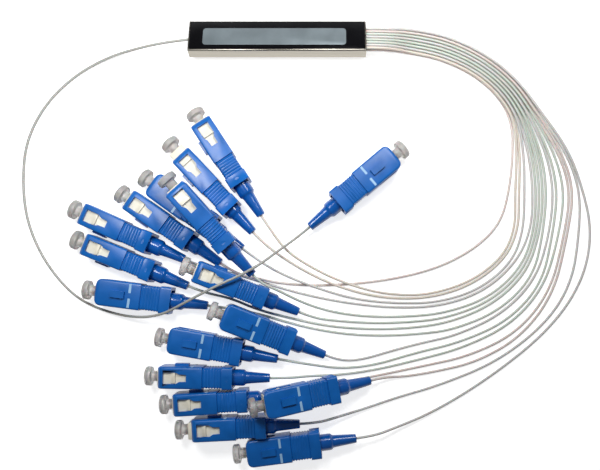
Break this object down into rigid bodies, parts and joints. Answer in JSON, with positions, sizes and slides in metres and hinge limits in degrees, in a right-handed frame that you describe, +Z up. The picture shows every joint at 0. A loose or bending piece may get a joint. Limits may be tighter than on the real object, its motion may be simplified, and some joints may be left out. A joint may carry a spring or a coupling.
{
  "type": "fibre optic splitter",
  "caption": "Flat steel splitter tube with an input cord and a bundle of output cords, each ending in a square push-pull connector with tail boot and dust cap.",
  "frame": {"origin": "on the surface everything lies on, under the middle of the steel tube", "axes": "+X along the tube towards its output end, +Y to the tube's left seen from above, +Z up"},
  "size_m": [0.1968, 0.151, 0.0188],
  "materials": {
    "tube_steel": "satin",
    "label_black": "gloss",
    "end_seal": "matt",
    "chip_glass": "polished",
    "frame_cream": "satin",
    "ferrule_white": "polished",
    "spring_steel": "polished",
    "stop_metal": "plated",
    "boot_blue": "satin",
    "grip_blue": "satin",
    "cap_grey": "translucent",
    "cord_white": "translucent",
    "cord_clear": "translucent",
    "cord_green": "translucent",
    "cord_cream": "translucent",
    "cord_pink": "translucent"
  },
  "bodies": {
    "root": {"steel_tube": "tube_steel", "face_label": "label_black", "end_plugs": "end_seal", "optical_chip": "chip_glass", "plug_frames": "frame_cream", "ferrules": "ferrule_white", "springs": "spring_steel", "spring_stops": "stop_metal", "boots": "boot_blue", "input_cord": "cord_white", "output_cord_01": "cord_cream", "output_cord_02": "cord_cream", "output_cord_03": "cord_green", "output_cord_04": "cord_clear", "output_cord_05": "cord_pink", "output_cord_06": "cord_clear", "output_cord_07": "cord_green", "output_cord_08": "cord_green", "output_cord_09": "cord_green", "output_cord_10": "cord_clear", "output_cord_11": "cord_green", "output_cord_12": "cord_green", "output_cord_13": "cord_pink", "output_cord_14": "cord_clear", "output_cord_15": "cord_pink", "output_cord_16": "cord_clear"},
    "input_grip": {"input_grip": "grip_blue"},
    "input_cap": {"input_cap": "cap_grey"},
    "output_01_grip": {"output_01_grip": "grip_blue"},
    "output_01_cap": {"output_01_cap": "cap_grey"},
    "output_02_grip": {"output_02_grip": "grip_blue"},
    "output_02_cap": {"output_02_cap": "cap_grey"},
    "output_03_grip": {"output_03_grip": "grip_blue"},
    "output_03_cap": {"output_03_cap": "cap_grey"},
    "output_04_grip": {"output_04_grip": "grip_blue"},
    "output_04_cap": {"output_04_cap": "cap_grey"},
    "output_05_grip": {"output_05_grip": "grip_blue"},
    "output_05_cap": {"output_05_cap": "cap_grey"},
    "output_06_grip": {"output_06_grip": "grip_blue"},
    "output_06_cap": {"output_06_cap": "cap_grey"},
    "output_07_grip": {"output_07_grip": "grip_blue"},
    "output_07_cap": {"output_07_cap": "cap_grey"},
    "output_08_grip": {"output_08_grip": "grip_blue"},
    "output_08_cap": {"output_08_cap": "cap_grey"},
    "output_09_grip": {"output_09_grip": "grip_blue"},
    "output_09_cap": {"output_09_cap": "cap_grey"},
    "output_10_grip": {"output_10_grip": "grip_blue"},
    "output_10_cap": {"output_10_cap": "cap_grey"},
    "output_11_grip": {"output_11_grip": "grip_blue"},
    "output_11_cap": {"output_11_cap": "cap_grey"},
    "output_12_grip": {"output_12_grip": "grip_blue"},
    "output_12_cap": {"output_12_cap": "cap_grey"},
    "output_13_grip": {"output_13_grip": "grip_blue"},
    "output_13_cap": {"output_13_cap": "cap_grey"},
    "output_14_grip": {"output_14_grip": "grip_blue"},
    "output_14_cap": {"output_14_cap": "cap_grey"},
    "output_15_grip": {"output_15_grip": "grip_blue"},
    "output_15_cap": {"output_15_cap": "cap_grey"},
    "output_16_grip": {"output_16_grip": "grip_blue"},
    "output_16_cap": {"output_16_cap": "cap_grey"}
  },
  "joints": [
    {"name": "input_grip_slide", "type": "slide", "parent": "root", "child": "input_grip", "axis": [0.7649, 0.6441, 0], "range_m": [-0.002, 0]},
    {"name": "input_cap_pull", "type": "slide", "parent": "root", "child": "input_cap", "axis": [0.7649, 0.6441, 0], "range_m": [0, 0.005]},
    {"name": "output_01_grip_slide", "type": "slide", "parent": "root", "child": "output_01_grip", "axis": [-0.5446, 0.8387, 0], "range_m": [-0.002, 0]},
    {"name": "output_01_cap_pull", "type": "slide", "parent": "root", "child": "output_01_cap", "axis": [-0.5446, 0.8387, 0], "range_m": [0, 0.005]},
    {"name": "output_02_grip_slide", "type": "slide", "parent": "root", "child": "output_02_grip", "axis": [-0.6845, 0.729, 0], "range_m": [0, 0.002]},
    {"name": "output_02_cap_pull", "type": "slide", "parent": "root", "child": "output_02_cap", "axis": [-0.6845, 0.729, 0], "range_m": [0, 0.005]},
    {"name": "output_03_grip_slide", "type": "slide", "parent": "root", "child": "output_03_grip", "axis": [-0.6562, 0.7417, 0.1392], "range_m": [-0.002, 0]},
    {"name": "output_03_cap_pull", "type": "slide", "parent": "root", "child": "output_03_cap", "axis": [-0.6562, 0.7417, 0.1392], "range_m": [0, 0.005]},
    {"name": "output_04_grip_slide", "type": "slide", "parent": "root", "child": "output_04_grip", "axis": [-0.809, 0.5878, 0], "range_m": [-0.002, 0]},
    {"name": "output_04_cap_pull", "type": "slide", "parent": "root", "child": "output_04_cap", "axis": [-0.809, 0.5878, 0], "range_m": [0, 0.005]},
    {"name": "output_05_grip_slide", "type": "slide", "parent": "root", "child": "output_05_grip", "axis": [-0.8192, 0.5736, 0], "range_m": [-0.002, 0]},
    {"name": "output_05_cap_pull", "type": "slide", "parent": "root", "child": "output_05_cap", "axis": [-0.8192, 0.5736, 0], "range_m": [0, 0.005]},
    {"name": "output_06_grip_slide", "type": "slide", "parent": "root", "child": "output_06_grip", "axis": [-0.9107, 0.4131, 0], "range_m": [-0.002, 0]},
    {"name": "output_06_cap_pull", "type": "slide", "parent": "root", "child": "output_06_cap", "axis": [-0.9107, 0.4131, 0], "range_m": [0, 0.005]},
    {"name": "output_07_grip_slide", "type": "slide", "parent": "root", "child": "output_07_grip", "axis": [-0.9245, 0.3811, 0], "range_m": [-0.002, 0]},
    {"name": "output_07_cap_pull", "type": "slide", "parent": "root", "child": "output_07_cap", "axis": [-0.9245, 0.3811, 0], "range_m": [0, 0.005]},
    {"name": "output_08_grip_slide", "type": "slide", "parent": "root", "child": "output_08_grip", "axis": [-0.9908, 0.1304, 0.0349], "range_m": [-0.002, 0]},
    {"name": "output_08_cap_pull", "type": "slide", "parent": "root", "child": "output_08_cap", "axis": [-0.9908, 0.1304, 0.0349], "range_m": [0, 0.005]},
    {"name": "output_09_grip_slide", "type": "slide", "parent": "root", "child": "output_09_grip", "axis": [-0.9132, 0.3727, 0.165], "range_m": [-0.002, 0]},
    {"name": "output_09_cap_pull", "type": "slide", "parent": "root", "child": "output_09_cap", "axis": [-0.9132, 0.3727, 0.165], "range_m": [0, 0.005]},
    {"name": "output_10_grip_slide", "type": "slide", "parent": "root", "child": "output_10_grip", "axis": [-0.913, 0.3745, 0.1616], "range_m": [-0.002, 0]},
    {"name": "output_10_cap_pull", "type": "slide", "parent": "root", "child": "output_10_cap", "axis": [-0.913, 0.3745, 0.1616], "range_m": [0, 0.005]},
    {"name": "output_11_grip_slide", "type": "slide", "parent": "root", "child": "output_11_grip", "axis": [-0.9836, 0.1805, 0], "range_m": [-0.002, 0]},
    {"name": "output_11_cap_pull", "type": "slide", "parent": "root", "child": "output_11_cap", "axis": [-0.9836, 0.1805, 0], "range_m": [0, 0.005]},
    {"name": "output_12_grip_slide", "type": "slide", "parent": "root", "child": "output_12_grip", "axis": [-0.9998, 0.0175, 0], "range_m": [-0.002, 0]},
    {"name": "output_12_cap_pull", "type": "slide", "parent": "root", "child": "output_12_cap", "axis": [-0.9998, 0.0175, 0], "range_m": [0, 0.005]},
    {"name": "output_13_grip_slide", "type": "slide", "parent": "root", "child": "output_13_grip", "axis": [-0.9982, -0.0593, 0], "range_m": [-0.002, 0]},
    {"name": "output_13_cap_pull", "type": "slide", "parent": "root", "child": "output_13_cap", "axis": [-0.9982, -0.0593, 0], "range_m": [0, 0.005]},
    {"name": "output_14_grip_slide", "type": "slide", "parent": "root", "child": "output_14_grip", "axis": [-0.9988, -0.0489, 0], "range_m": [-0.001, 0.001]},
    {"name": "output_14_cap_pull", "type": "slide", "parent": "root", "child": "output_14_cap", "axis": [-0.9988, -0.0489, 0], "range_m": [0, 0.005]},
    {"name": "output_15_grip_slide", "type": "slide", "parent": "root", "child": "output_15_grip", "axis": [-0.9509, -0.1745, 0.2554], "range_m": [-0.002, 0]},
    {"name": "output_15_cap_pull", "type": "slide", "parent": "root", "child": "output_15_cap", "axis": [-0.9509, -0.1745, 0.2554], "range_m": [0, 0.005]},
    {"name": "output_16_grip_slide", "type": "slide", "parent": "root", "child": "output_16_grip", "axis": [-0.9917, -0.1288, 0], "range_m": [-0.002, 0]},
    {"name": "output_16_cap_pull", "type": "slide", "parent": "root", "child": "output_16_cap", "axis": [-0.9917, -0.1288, 0], "range_m": [0, 0.005]}
  ]
}
